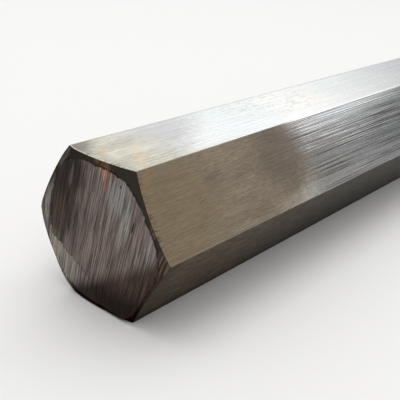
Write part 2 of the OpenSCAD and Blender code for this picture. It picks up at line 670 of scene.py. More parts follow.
# %% Name the finish of each face
# Numbers of the finishes, in the order of the bar's material slots
DRAWN, SAWN, TURNED, GROUND, PLAIN = range(5)
GROUND_LEAST = 0.002 * MM
chamfer_rows = len(chamfer_spots)
flats_end = chamfer_rows + len(flats_spots)
strip_finish = np.full(strips.shape[:2], DRAWN)
is_ground = ground_depth > turned_depth + GROUND_LEAST
strip_finish[:chamfer_rows] = np.where(is_ground, GROUND, TURNED)
on_top = np.abs(outline.imag - flat_r) < edge_radius / 2
strip_finish[chamfer_rows] = np.where(on_top, DRAWN, TURNED)
strip_finish[flats_end:] = PLAIN
finish = np.concatenate([
    np.full(len(face_quads), SAWN), strip_finish.ravel(), np.full(len(far_quads) + len(joins), PLAIN)
])
print("faces of each finish", np.bincount(finish).tolist())

# %% [markdown]
# ## Grain map
# The grain map gives the distance along the tool's marks and the distance across them. On the flats that
# is the distance from the sawn end and the way round the section, and at the ends it follows the saw.
# With such a map, lines and stains can be given in millimetres, and they keep to the tool's way on every
# part.

# %% Lay out the grain map
corner_numbers = np.concatenate([quads.ravel(), joins.ravel()])
face_corners = np.repeat([quads.shape[1], joins.shape[1]], [len(quads), len(joins)])
corner_finish = np.repeat(finish, face_corners)
corner_points = points[corner_numbers]
corner_spots = corner_points[:, 1] + 1j * (corner_points[:, 2] - axis_z)

# Place round the section at each corner of the strips, past the last column at the closing step
column = np.arange(COLUMNS)
strip_columns = np.broadcast_to(np.stack([column, column + 1, column + 1, column], -1), strips.shape)
corner_girth = np.zeros(len(corner_numbers))
strip_slice = slice(face_quads.size, face_quads.size + strips.size)
corner_girth[strip_slice] = girth[strip_columns].ravel()

cut_along, cut_across = cut_coordinates(corner_spots)
far_turned = corner_spots * np.conj(far_cut_way)
from_end = corner_points[:, 0] - near_x
grain_along = np.select(
    [corner_finish == DRAWN, corner_finish == PLAIN],
    [from_end, far_turned.real], cut_along)
grain_across = np.select(
    [corner_finish == DRAWN, corner_finish == PLAIN],
    [corner_girth, far_turned.imag], cut_across)
grain_map = np.stack([grain_along, grain_across], -1) / MM

print("grain map spans", np.ptp(grain_map, axis=0).round(1), "mm")

# %% [markdown]
# ## Flat layout
# A second map lays the skin out flat without overlaps, for textures that are made from the finishes. The
# drawn sides fill its lower part, and the two ends stand side by side over them. As in the section, a
# place on it is a complex number.

# %% Lay the skin out flat
SIDES_HEIGHT = 0.57
MARGIN = 0.01
END_SIZE = 0.4
END_SCALE = END_SIZE / (2 * corner_r)
NEAR_MIDDLE = 0.22 + 0.79j
FAR_MIDDLE = 0.72 + 0.79j
bar_length = far_x - near_x
on_sides = corner_finish == DRAWN
at_near = from_end < bar_length / 2
end_spots = np.where(at_near, NEAR_MIDDLE, FAR_MIDDLE) + END_SCALE * corner_spots
flat_u = np.where(on_sides, MARGIN + (1 - 2 * MARGIN) * from_end / bar_length, end_spots.real)
flat_v = np.where(on_sides, MARGIN + SIDES_HEIGHT * corner_girth / girth[-1], end_spots.imag)
flat_map = np.stack([flat_u, flat_v], -1)
print("flat layout goes from", flat_map.min(0).round(3), "to", flat_map.max(0).round(3))

# %% [markdown]
# ## Film and painted shade on each flat
# The old film reaches further on some flats than on others. The overhanging flats get painted shade, a
# dark colour that stands for the shade under them and the dark ground that they reflect. Both could be
# painted by hand. Here each column gets its numbers from the flat that it lies on, and the film's reach is
# slanted and ragged across it.

# %% Spread the film and the painted shade over the flats
# For each flat in turn: reach of the film in millimetres, its brownness, and how deep the drawn lines are
FLAT_TRAITS = {
    "left_upper": (60.0, 0.9, 0.6),
    "top": (24.0, 0.06, 0.15),
    "right_upper": (79.5, 1.0, 1.0),
    "right_lower": (215.0, 1.0, 0.5),
    "bottom": (150.0, 0.9, 0.5),
    "left_lower": (120.0, 0.9, 0.5),
}
FILM_SLANT = 5.0
FILM_RAGGED = 3.0
FILM_PITCHES = MM * np.array([9.7, 5.1, 2.3, 1.3, 0.8])
# Share of painted shade on the overhanging flats, and its rise towards the bottom
OVERHANG_SHADE_LEAST = 0.94
OVERHANG_SHADE_RISE = 0.04

flat_width = girth[-1] / SIDES
flat_number = np.floor(girth[:-1] / flat_width).astype(int) % SIDES
flat_share = girth[:-1] / flat_width - flat_number
film_reach, film_brown, line_depth = np.array(list(FLAT_TRAITS.values()))[flat_number].T
film_reach = film_reach + FILM_SLANT * (flat_share - 0.5)
film_reach = film_reach + FILM_RAGGED * waves(girth[:-1], FILM_PITCHES, seed=31)
low_share = np.clip(-outline.imag / flat_r, 0, 1)
overhang_shade = np.where(outline.imag < edge_radius / 2, OVERHANG_SHADE_LEAST + OVERHANG_SHADE_RISE * low_share, 0)

film_span = np.array([film_reach.min(), film_reach.max()])
print("film reaches", film_span.round(1), "mm from the sawn end, least and most")

# %% [markdown]
# ## Distances from the rims
# The end's dark lines of painted shade follow the rim of the sawn face and the bar's outer edge. Those
# aren't simple curves, so each point keeps its distance from them. A painted highlight draws one bright
# line on the rim of the top flat, which fades away from its back corner. All these numbers, and the depth
# of the saw marks, go to the points.

# %% Measure from the rims
# Distance in millimetres that counts as away from a rim
NO_RIM = 9.0
# Painted highlight on the top flat's rim: share of the flat over which it fades, and its share one row in
SHINE_FADE = 0.75
SHINE_INWARD = 0.1

chamfer_slice = slice(row_first, row_first + chamfer_spots.size)
face_rim_gap = (1 - face_share) * np.interp(face_place, np.arange(COLUMNS + 1), closed(sawn_r))
rim_gap = np.full(len(points), NO_RIM)
rim_gap[:row_first] = face_rim_gap.ravel() / MM
rim_gap[chamfer_slice] = (np.abs(chamfer_spots) - sawn_r).ravel() / MM
edge_gap = np.full(len(points), NO_RIM)
edge_gap[chamfer_slice] = (outline_r - np.abs(chamfer_spots)).ravel() / MM
edge_gap[chamfer_slice.stop:] = 0

is_top = flat_number == list(FLAT_TRAITS).index("top")
shine = np.where(is_top, np.clip(1 - flat_share / SHINE_FADE, 0, 1), 0)
rim_shine = np.zeros(len(points))
rim_shine[rows[chamfer_rows + 1]] = shine
rim_shine[rows[chamfer_rows + 2]] = shine * SHINE_INWARD


def on_rows(values):
    """Numbers for all points from one number a column, 0 where there are no rows."""
    spread = np.zeros(len(points))
    spread[rows] = values
    return spread


point_values = {
    "film_reach": on_rows(film_reach),
    "film_brown": on_rows(film_brown),
    "line_depth": on_rows(line_depth),
    "overhang_shade": on_rows(overhang_shade),
    "rim_gap": rim_gap,
    "edge_gap": edge_gap,
    "rim_shine": rim_shine,
    "mark_depth": np.append(face_marks.ravel() / MM, np.zeros(len(points) - row_first)),
}
print("values on the points:", ", ".join(point_values))

# %% [markdown]
# ## The piece
# foreach_set writes whole arrays into the mesh. Shading is smooth, and only the rim of the sawn face and
# the rim of the deburred end are marked sharp, because the other edges have their own rounding.


# %% Make the mesh and its object
def write_layer(mesh, name, values):
    """Adds a map to the mesh's corners."""
    layer = mesh.uv_layers.new(name=name)
    layer.data.foreach_set("uv", np.asarray(values, np.float32).ravel())


def write_value(mesh, name, values):
    """Adds a number to each point."""
    layer = mesh.attributes.new(name, "FLOAT", "POINT")
    layer.data.foreach_set("value", np.asarray(values, np.float32))


def mark_sharp(mesh, *rims):
    """Marks the edges that run along the rims."""
    ends = np.empty(len(mesh.edges) * 2, np.int32)
    mesh.edges.foreach_get("vertices", ends)
    ends = ends.reshape(-1, 2)
    sharp = np.zeros(len(mesh.edges), bool)
    for rim in rims:
        sharp |= np.isin(ends, rim).all(1)
    mesh.attributes.new("sharp_edge", "BOOLEAN", "EDGE").data.foreach_set("value", sharp)
    return int(sharp.sum())


bar_mesh = bpy.data.meshes.new("drawn_hex_bar")
bar_mesh.from_pydata(points.tolist(), [], faces)
bar_mesh.polygons.foreach_set("material_index", finish.astype(np.int32))
bar_mesh.polygons.foreach_set("use_smooth", np.ones(len(faces), bool))
write_layer(bar_mesh, "grain", grain_map)
write_layer(bar_mesh, "OFBake", flat_map)
bar_mesh.uv_layers.active = bar_mesh.uv_layers["grain"]
bar_mesh.uv_layers["grain"].active_render = True
for name, values in point_values.items():
    write_value(bar_mesh, name, values)
sharp_edges = mark_sharp(bar_mesh, face_rim, rows[flats_end], rows[flats_end + 1])
bar_mesh.update()
bar = bpy.data.objects.new("drawn_hex_bar", bar_mesh)
bpy.context.scene.collection.objects.link(bar)
print("bar mesh with", sharp_edges, "sharp edges, sound:", not bar_mesh.validate(verbose=False))

# %% [markdown]
# ## Shared effects
# Lines left by a tool and soft stains turn up in several finishes of a worn bar. An image could hold
# them, but noise has no seam and no end, and its sizes can be set in millimetres. So each is a node
# group. The lines are noise that is stretched along the grain. A stain is an ellipse with a ragged edge,
# which can slant.

# %% Make the group for lines
NOISE_ROUGHNESS = 0.6


def new_group(name, inputs, output):
    """Empty shader group with float inputs, given with their defaults, and one float output."""
    group = bpy.data.node_groups.new(name, "ShaderNodeTree")
    for socket, value in inputs.items():
        made = group.interface.new_socket(socket, in_out="INPUT", socket_type="NodeSocketFloat")
        made.default_value = value
    group.interface.new_socket(output, in_out="OUTPUT", socket_type="NodeSocketFloat")
    entry = group.nodes.new("NodeGroupInput")
    leave = group.nodes.new("NodeGroupOutput")
    return group, entry.outputs, leave.inputs


def use_group(tree, group, **feeds):
    """Places a group in a material. Its output is a value over the surface."""
    named = {name.replace("_", " "): value for name, value in feeds.items()}
    return add_node(tree, "ShaderNodeGroup", named, node_tree=group).outputs[0]


def centred_noise(group, place, scale, detail):
    """Noise at a place of three values, about as far above 0 as below."""
    vector = add_node(group, "ShaderNodeCombineXYZ", enumerate(place)).outputs[0]
    feeds = {"Vector": vector, "Scale": scale, "Detail": detail, "Roughness": NOISE_ROUGHNESS}
    noise = add_node(group, "ShaderNodeTexNoise", feeds).outputs[0]
    return maths(group, "SUBTRACT", noise, 0.5)


def grain_lines_group():
    """Noise at (along / run, across / pitch), drawn out along the grain: about 0 to 1, and 0.5 on average."""
    inputs = {
        "Along": 0.0, "Across": 0.0, "Pitch": 1.0, "Run": 50.0,
        "Seed": 0.0, "Contrast": 1.0, "Detail": 2.0,
    }
    group, given, result = new_group("grain_lines", inputs, "Line")
    along = maths(group, "DIVIDE", given["Along"], given["Run"])
    across = maths(group, "DIVIDE", given["Across"], given["Pitch"])
    noise = centred_noise(group, (along, across, given["Seed"]), 1.0, given["Detail"])
    line = maths(group, "MULTIPLY_ADD", noise, given["Contrast"], 0.5)
    group.links.new(line, result["Line"])
    return group


GRAIN_LINES = grain_lines_group()


def grain_lines(tree, place, pitch, run, seed, contrast, detail=2.0):
    """Lines along the grain, of that pitch and run in millimetres."""
    settings = {"Pitch": pitch, "Run": run, "Seed": seed, "Contrast": contrast, "Detail": detail}
    return use_group(tree, GRAIN_LINES, **place, **settings)


print("group", GRAIN_LINES.name, "with", len(GRAIN_LINES.nodes), "nodes")

# %% Make the group for stains
STAIN_DETAIL = 3.0
# Share of the way out from a stain's middle where it ends, and where it is full
STAIN_END = 1.1
STAIN_FULL = 0.4


def stain_group():
    """1 inside an ellipse and 0 outside, with its edge pushed about by noise.

    Slant shifts the ellipse along as it goes across. Stretch draws the noise out along the grain.
    """
    inputs = {
        "Along": 0.0, "Across": 0.0, "Mid Along": 0.0, "Mid Across": 0.0, "Half Along": 5.0,
        "Half Across": 5.0, "Slant": 0.0, "Ragged": 0.6, "Grain": 2.0, "Stretch": 1.0,
    }
    group, given, result = new_group("stain", inputs, "Mask")
    off_across = maths(group, "SUBTRACT", given["Across"], given["Mid Across"])
    off_along = maths(group, "SUBTRACT", given["Along"], given["Mid Along"])
    off_along = maths(group, "SUBTRACT", off_along, product(group, off_across, given["Slant"]))
    far_along = maths(group, "POWER", maths(group, "DIVIDE", off_along, given["Half Along"]), 2.0)
    far_across = maths(group, "POWER", maths(group, "DIVIDE", off_across, given["Half Across"]), 2.0)
    far = maths(group, "SQRT", maths(group, "ADD", far_along, far_across))
    drawn_out = maths(group, "DIVIDE", given["Along"], given["Stretch"])
    fine = maths(group, "DIVIDE", 1.0, given["Grain"])
    noise = centred_noise(group, (drawn_out, given["Across"], given["Mid Along"]), fine, STAIN_DETAIL)
    pushed = maths(group, "MULTIPLY_ADD", noise, given["Ragged"], far)
    group.links.new(eased(group, pushed, STAIN_END, STAIN_FULL), result["Mask"])
    return group


STAIN = stain_group()
print("group", STAIN.name, "with", len(STAIN.nodes), "nodes")

# %% [markdown]
# ## Start of a finish
# Each tool worked the metal in one direction, and such metal spreads a highlight across its marks. A mesh
# fine enough to do that would be far too heavy, but the shader's anisotropy does it, if its tangent
# follows the marks. So every finish starts from the same metal shader, with the direction and the place
# of the grain map.

# %% Start every finish
# A quarter of a turn lays the rougher way of the shader across the grain
ACROSS_GRAIN = 0.25


def steel_finish(name, roughness, anisotropy):
    """Metal material, its tree and shader, and its place along and across the grain in millimetres."""
    material = bpy.data.materials.new(name)
    material.use_nodes = True
    tree = material.node_tree
    shader = tree.nodes["Principled BSDF"]
    shader.inputs["Metallic"].default_value = 1.0
    shader.inputs["Roughness"].default_value = roughness
    shader.inputs["Anisotropic"].default_value = anisotropy
    shader.inputs["Anisotropic Rotation"].default_value = ACROSS_GRAIN
    tangent = add_node(tree, "ShaderNodeTangent", direction_type="UV_MAP", uv_map="grain")
    tree.links.new(tangent.outputs[0], shader.inputs["Tangent"])
    grain = add_node(tree, "ShaderNodeUVMap", uv_map="grain").outputs[0]
    spot = add_node(tree, "ShaderNodeSeparateXYZ", {0: grain}).outputs
    return material, tree, shader, {"Along": spot["X"], "Across": spot["Y"]}


def stored(tree, name):
    """Number that the mesh's points carry under that name."""
    return add_node(tree, "ShaderNodeAttribute", attribute_name=name).outputs["Fac"]


def blended(tree, *parts):
    """Sum of values, each given with its share."""
    total = 0.0
    for value, share in parts:
        total = maths(tree, "MULTIPLY_ADD", value, share, total)
    return total


def laid_over(tree, colour, tint, mask, strength):
    """The colour with a tint over it, by the mask times the strength."""
    return mixed(tree, product(tree, mask, strength), colour, tint)


def scaled(tree, colour, value):
    """The colour, darkened or lightened by a value over the surface."""
    return mixed(tree, 1.0, colour, value, "MULTIPLY")


def bump_from(tree, shader, height, depth):
    """Feeds the shader's normal from a height in its own units, of the given depth in metres."""
    bump = add_node(tree, "ShaderNodeBump", {"Height": height, "Distance": depth, "Strength": 1.0})
    tree.links.new(bump.outputs[0], shader.inputs["Normal"])


def dress(finish):
    """Gives the bar a finish, in the next of its slots."""
    bar_mesh.materials.append(finish)
    print("finish", finish.name, "with", len(finish.node_tree.nodes), "nodes")


print("finishes are turned by", 360 * ACROSS_GRAIN, "degrees from their grain")

# %% [markdown]
# ## Steel of the flats
# The die leaves lines along the bar: close hair lines, and broader grooves and ridges. They are far finer
# than the mesh can hold, so they are noise in the colour, dark in the grooves and pale on the ridges.
# Under them the steel has slow tones, mostly cool, and painted highlights where the upper right flat
# reflects bright light. Each tone is a row of a list, so that it can be moved by hand.

# %% Colour of the bare steel
STEEL = grey(0.74)
COOL = (0.63, 0.69, 0.685, 1.0)
SLATE = (0.71, 0.755, 0.765, 1.0)
DIM_BLUE = (0.57, 0.61, 0.63, 1.0)
IVORY = (0.82, 0.80, 0.755, 1.0)
# Pale tint of painted highlights on the upper right flat, where it reflects bright light
PALE_HIGHLIGHT = (0.92, 0.94, 0.96, 1.0)
GREY_BAND = grey(0.37, 0.03)
PALE_LINE = grey(0.97)
GROOVE = grey(0.26, 0.04)

# Flat, middle along from the sawn end and across from the flat's start, half sizes, slant, colour, strength
STEEL_TONES = [
    ("top", 70.0, 12.0, 27.0, 30.0, -0.6, COOL, 0.7),
    ("top", 190.0, 12.0, 60.0, 40.0, 0.0, COOL, 0.5),
    ("top", 108.0, 11.0, 26.0, 20.0, -0.6, IVORY, 0.6),
    ("top", 198.0, 4.0, 32.0, 14.0, 0.0, DIM_BLUE, 0.7),
    ("top", 24.0, 10.0, 32.0, 34.0, -1.0, GREY_BAND, 0.85),
    ("right_upper", 150.0, 10.0, 50.0, 32.0, 0.0, SLATE, 0.6),
    ("right_upper", 116.0, 29.0, 46.0, 12.0, 0.0, PALE_HIGHLIGHT, 0.88),
    ("right_upper", 140.0, 0.0, 60.0, 4.5, 0.0, PALE_HIGHLIGHT, 0.95),
    ("right_upper", 104.0, 17.0, 24.0, 3.5, 0.0, PALE_HIGHLIGHT, 0.5),
]
FLATS = {name: number * flat_width / MM for number, name in enumerate(FLAT_TRAITS)}
FLAT_HALF = flat_width / MM / 2
FLAT_MARGIN = 0.4
# Lines are given by pitch across the grain and run along it in millimetres, seed, contrast and detail.
# What a value does is given by where it starts to act and where it acts in full, and by the result at both.
SLOW_TONE = (24.0, 70.0, 14.0, 1.8, 1.0)
TONE_ACTS = (0.4, 0.9)
# The same for grooves and ridges, with their strength and their colour
HAIR_SHOWS = [(0.42, 0.2, 0.3, GROOVE), (0.58, 0.8, 0.6, PALE_LINE)]
DIE_SHOWS = [(0.46, 0.28, 1.0, GROOVE), (0.56, 0.72, 1.0, PALE_LINE)]


def flat_mask(tree, place, flat, mid, off, half_along, half_across, slant):
    """A stain on one flat, kept off its neighbours."""
    mask = use_group(
        tree, STAIN, **place, Mid_Along=mid, Mid_Across=FLATS[flat] + off,
        Half_Along=half_along, Half_Across=half_across, Slant=slant)
    off_middle = maths(tree, "SUBTRACT", place["Across"], FLATS[flat] + FLAT_HALF)
    inside = eased(tree, maths(tree, "ABSOLUTE", off_middle), FLAT_HALF, FLAT_HALF - FLAT_MARGIN)
    return product(tree, mask, inside)


def marked(tree, place, colour, marks):
    """The colour with the marks of a list laid over it in turn."""
    for *where, tint, strength in marks:
        colour = laid_over(tree, colour, tint, flat_mask(tree, place, *where), strength)
    return colour


def bare_steel(tree, place, hair, die, depth):
    """Silver steel of slowly changing tone, with dark grooves and pale ridges along it."""
    tone = eased(tree, grain_lines(tree, place, *SLOW_TONE), *TONE_ACTS)
    colour = marked(tree, place, mixed(tree, tone, STEEL, COOL), STEEL_TONES)
    for lines, shows in ((hair, HAIR_SHOWS), (die, DIE_SHOWS)):
        for start, full, strength, tint in shows:
            shown = eased(tree, lines, start, full, 0.0, strength)
            colour = laid_over(tree, colour, tint, shown, depth)
    return colour


print(len(STEEL_TONES), "tones under the drawn lines")

# %% [markdown]
# ## Film from handling
# Near the sawn end the flats carry a thin brownish film, as oil and hands leave it, and on the top flat a
# pale cream. It ends in fingers along the drawn lines, so those lines push its edge about. It has no
# thickness to be seen, so it is a colour over the steel, and not a surface of its own.

# %% Colour and reach of the film
FILM = (0.455, 0.377, 0.281, 1.0)
FILM_DARK = (0.282, 0.234, 0.172, 1.0)
CREAM = (0.64, 0.62, 0.535, 1.0)
CREAM_DARK = (0.38, 0.365, 0.30, 1.0)
CLOUDS = (6.0, 14.0, 11.0, 1.6)
PATCHES_ACT = (0.75, 0.2)
FILM_FADE = 10.0
FINGERS = 14.0


def film_share(tree, place, ridge):
    """1 on the film and 0 beyond its reach, which the ridges of the drawn lines shift."""
    from_reach = maths(tree, "SUBTRACT", place["Along"], stored(tree, "film_reach"))
    from_reach = maths(tree, "MULTIPLY_ADD", ridge, FINGERS, from_reach)
    return eased(tree, from_reach, FILM_FADE, -FILM_FADE)


def film_colour(tree, place, hair, mottle):
    """Film in lighter and darker patches, cream or brown by the flat."""
    cloud = grain_lines(tree, place, *CLOUDS)
    patchy = blended(tree, (mottle, 0.35), (cloud, 0.35), (hair, 0.3))
    patchy = eased(tree, patchy, *PATCHES_ACT)
    brown = mixed(tree, patchy, FILM, FILM_DARK)
    cream = mixed(tree, patchy, CREAM, CREAM_DARK)
    return mixed(tree, stored(tree, "film_brown"), cream, brown)


print("film fades out over", 2 * FILM_FADE, "mm")

# %% [markdown]
# ## Marks on the flats
# Over steel and film lie single marks: darker tones behind the rim, tan streaks, a bruise, painted
# highlights and a painted dark reflection on the upper right flat, and dark blotches on the top flat. The
# rim has a painted highlight line and small burrs. The long edges get painted shade where the film is, and
# the back edge of the top flat a grey line of painted shade. As the tones do, the marks come from a list.

# %% Marks, rim and long edges
# Dark brown of a painted dark reflection where the film ends on the upper right flat
PAINTED_DARK_REFLECTION = (0.197, 0.158, 0.13, 1.0)
FILM_WARM = (0.378, 0.297, 0.18, 1.0)
# Warm tint of a painted highlight along the upper right flat
WARM_HIGHLIGHT = (0.92, 0.90, 0.85, 1.0)
TAN = (0.50, 0.31, 0.16, 1.0)
TAN_PALE = (0.66, 0.49, 0.29, 1.0)
# Darker tone by the back corner and along the rim of the top flat, and small darker marks
DARK_TONE = (0.185, 0.168, 0.138, 1.0)
BRUISE = (0.06, 0.05, 0.04, 1.0)
BLOTCH = (0.40, 0.38, 0.30, 1.0)
# Grey of the painted shade on the long edges where the film is
EDGE_GREY = grey(0.30, 0.05)

# Rows as for the tones of the steel
FLAT_MARKS = [
    # The first row is a grey line of painted shade along the rounded back edge of the top flat
    ("top", 110.0, 0.2, 130.0, 1.6, 0.0, GREY_BAND, 0.5),
    ("top", 2.0, 2.5, 10.5, 14.0, -0.8, DARK_TONE, 0.7),
    ("top", 0.5, 2.0, 8.0, 11.0, -0.8, DARK_TONE, 0.9),
    ("top", 0.5, 15.0, 5.5, 30.0, 0.0, DARK_TONE, 0.3),
    ("top", 5.4, 11.5, 2.4, 6.5, -0.6, TAN, 0.3),
    ("top", 11.3, 21.3, 2.8, 11.0, -0.7, TAN_PALE, 0.4),
    ("right_upper", 8.0, 16.0, 30.0, 24.0, 0.0, FILM_WARM, 0.6),
    ("right_upper", 4.8, 3.6, 2.2, 5.0, -0.84, TAN, 0.5),
    ("right_upper", 31.0, 8.6, 5.0, 2.2, -1.5, DARK_TONE, 0.35),
    ("right_upper", 24.0, 14.5, 0.9, 0.6, -4.0, BRUISE, 0.35),
    ("right_upper", 67.0, 9.0, 18.0, 18.0, 0.1, PAINTED_DARK_REFLECTION, 0.68),
    ("right_upper", 90.0, 17.0, 16.0, 11.0, 0.0, FILM, 0.2),
    ("right_upper", 93.0, 29.5, 36.0, 8.5, 0.0, WARM_HIGHLIGHT, 0.45),
    ("right_upper", 122.0, 0.5, 52.0, 5.0, 0.0, PALE_HIGHLIGHT, 0.75),
]
BLOTCHED = ("top", 96.0, 9.0, 36.0, 17.0, 0.0)
BLOTCHES = (1.3, 3.5, 15.5, 2.4)
BLOTCH_ACTS = (0.52, 0.85, 0.0, 0.5)
BURRS = (0.85, 5.0, 12.0, 2.6)
BURR_ACTS = (0.56, 0.8)
# Strength of the painted highlight on the rim of the top flat
RIM_SHINE = 0.65
# Reach behind the rim, and reach from a long edge, in millimetres
BURR_REACH = (4.5, 1.5, 0.0, 0.55)
EDGE_REACH = (0.7, 0.1, 0.0, 0.45)


def marked_flats(tree, place, colour, film):
    """Marks and blotches, the rim's painted highlight and burrs, and painted shade on the long edges."""
    colour = marked(tree, place, colour, FLAT_MARKS)
    blotch = eased(tree, grain_lines(tree, place, *BLOTCHES), *BLOTCH_ACTS)
    colour = laid_over(tree, colour, BLOTCH, flat_mask(tree, place, *BLOTCHED), blotch)
    colour = laid_over(tree, colour, PALE_LINE, stored(tree, "rim_shine"), RIM_SHINE)
    burr = eased(tree, grain_lines(tree, place, *BURRS), *BURR_ACTS)
    colour = laid_over(tree, colour, BRUISE, burr, eased(tree, place["Along"], *BURR_REACH))
    to_edge = maths(tree, "PINGPONG", place["Across"], FLAT_HALF)
    return laid_over(tree, colour, EDGE_GREY, eased(tree, to_edge, *EDGE_REACH), film)


print(len(FLAT_MARKS), "marks over steel and film")

# %% [markdown]
# ## Painted shade of the overhang
# The flats that overhang are darkened in their colour as painted shade, which stands for the shade under
# them and the dark ground that they reflect. It is brown near the sawn end and greyer far along, and
# nearly black low down and behind the rim. Smears of two sizes break it up, so that it isn't even.

# %% Colour of the painted shade of the overhang
# Colours of the painted shade: brown near the sawn end, grey far along, near black low down and behind the
# rim
OVERHANG_SHADE = (0.083, 0.062, 0.039, 1.0)
OVERHANG_SHADE_FAR = (0.038, 0.035, 0.027, 1.0)
OVERHANG_SHADE_LOW = (0.018, 0.015, 0.012, 1.0)
SMEARS = (1.6, 7.0, 17.0, 2.0)
SPECKS = (0.5, 1.1, 15.0, 2.4)
SMEAR_ACTS = (0.25, 0.75, 0.45, 1.55)
LOW_OVERHANG_SHADE_ACTS = (0.973, 0.9795)
# Reaches along the bar in millimetres
OVERHANG_SHADE_FADE = (30.0, 130.0)
RIM_SHADE = (14.0, 1.0, 0.0, 0.5)


def overhang_shade_colour(tree, place, overhang_shade):
    """Painted shade: smeared brown, greyer far along the bar, and near black low down and behind the rim."""
    colour = mixed(tree, eased(tree, place["Along"], *OVERHANG_SHADE_FADE), OVERHANG_SHADE, OVERHANG_SHADE_FAR)
    colour = mixed(tree, eased(tree, overhang_shade, *LOW_OVERHANG_SHADE_ACTS), colour, OVERHANG_SHADE_LOW)
    colour = mixed(tree, eased(tree, place["Along"], *RIM_SHADE), colour, OVERHANG_SHADE_LOW)
    smear = grain_lines(tree, place, *SMEARS)
    speck = grain_lines(tree, place, *SPECKS)
    smear = blended(tree, (smear, 0.6), (speck, 0.4))
    return scaled(tree, colour, eased(tree, smear, *SMEAR_ACTS))


print("grime turns grey from", OVERHANG_SHADE_FADE[0], "to", OVERHANG_SHADE_FADE[1], "mm along the bar")

# %% [markdown]
# ## Drawn flats
# The layers go over each other in the order in which they came: steel, film, marks, and last the painted
# shade of the overhang. The film and the overhang are rougher than bare steel, so they raise the
# roughness, and the film fills the lines, so it flattens the bump. One material for all six flats keeps
# them alike where they meet.

# %% Finish of the drawn flats
HAIR_LINES = (0.35, 26.0, 1.0, 1.8)
DIE_LINES = (0.54, 60.0, 2.0, 2.4, 1.4)
BROKEN_RUNS = (2.6, 16.0, 5.0, 2.0)
BROAD_BANDS = (7.0, 60.0, 3.0, 1.5, 0.0)
MOTTLE = (0.5, 3.0, 10.0, 1.5)
BREAK_ACTS = (0.2, 0.7, 0.55, 1.0)
SPECKLE_ACTS = (0.2, 0.8, 0.86, 1.12)
HAIR_ROUGHNESS = (0.2, 0.8, 0.15, 0.10)
FILM_ROUGHNESS = 0.24
OVERHANG_ROUGHNESS = 0.2
BAND_SHARE = 0.4
FILM_FILLS = 0.8
LINE_RELIEF = 0.02 * MM


def drawn_flats():
    """Bare steel, then the film near the sawn end, the marks, and painted shade below, with the lines as
    bump.
    """
    material, tree, shader, place = steel_finish("drawn_flats", roughness=0.2, anisotropy=0.6)
    hair = grain_lines(tree, place, *HAIR_LINES)
    die = grain_lines(tree, place, *DIE_LINES)
    mottle = grain_lines(tree, place, *MOTTLE)
    broken = eased(tree, grain_lines(tree, place, *BROKEN_RUNS), *BREAK_ACTS)
    depth = product(tree, stored(tree, "line_depth"), broken)
    ridge = product(tree, maths(tree, "SUBTRACT", die, 0.5), depth)
    film = film_share(tree, place, ridge)
    overhang_shade = stored(tree, "overhang_shade")

    colour = bare_steel(tree, place, hair, die, depth)
    colour = mixed(tree, film, colour, film_colour(tree, place, hair, mottle))
    colour = marked_flats(tree, place, colour, film)
    colour = mixed(tree, overhang_shade, colour, overhang_shade_colour(tree, place, overhang_shade))
    speckled = eased(tree, blended(tree, (hair, 0.5), (mottle, 0.5)), *SPECKLE_ACTS)
    tree.links.new(scaled(tree, colour, speckled), shader.inputs["Base Color"])

    rough = eased(tree, hair, *HAIR_ROUGHNESS)
    rough = maths(tree, "MULTIPLY_ADD", film, FILM_ROUGHNESS, rough)
    rough = maths(tree, "MULTIPLY_ADD", overhang_shade, OVERHANG_ROUGHNESS, rough)
    tree.links.new(rough, shader.inputs["Roughness"])
    band = maths(tree, "SUBTRACT", grain_lines(tree, place, *BROAD_BANDS), 0.5)
    relief = maths(tree, "MULTIPLY_ADD", band, BAND_SHARE, ridge)
    unfilled = maths(tree, "MULTIPLY_ADD", film, -FILM_FILLS, 1.0)
    bump_from(tree, shader, product(tree, relief, unfilled), LINE_RELIEF)
    return material


dress(drawn_flats())

# %% [markdown]
# ## Patches on the cut
# The cut is old and dull: brown and purple greys, near black at the upper left, paler at the upper right,
# with a little rust at the top. Each patch is a stain that lies along the saw marks, as rust and oil
# creep along them. A list of patches is easier to match to a real cut than noise alone.

# %% Patches along the saw marks
SAWN_MID = (0.168, 0.136, 0.121, 1.0)
SAWN_BLACK = (0.021, 0.0155, 0.0117, 1.0)
SAWN_BROWN = (0.062, 0.040, 0.030, 1.0)
# Near black of the painted shade low down and along the rims, also of two small dark marks on the cut
SHADE_AND_PIT_BLACK = (0.014, 0.0068, 0.004, 1.0)
PLUM = (0.11, 0.088, 0.084, 1.0)
OCHRE = (0.11, 0.082, 0.045, 1.0)
OLIVE = (0.075, 0.066, 0.042, 1.0)
ORANGE = (0.36, 0.20, 0.145, 1.0)
PALE_GREEN = (0.27, 0.275, 0.245, 1.0)
PALE_CUT = grey(0.25, 0.07)
PALE_CORNER = grey(0.25, 0.08)

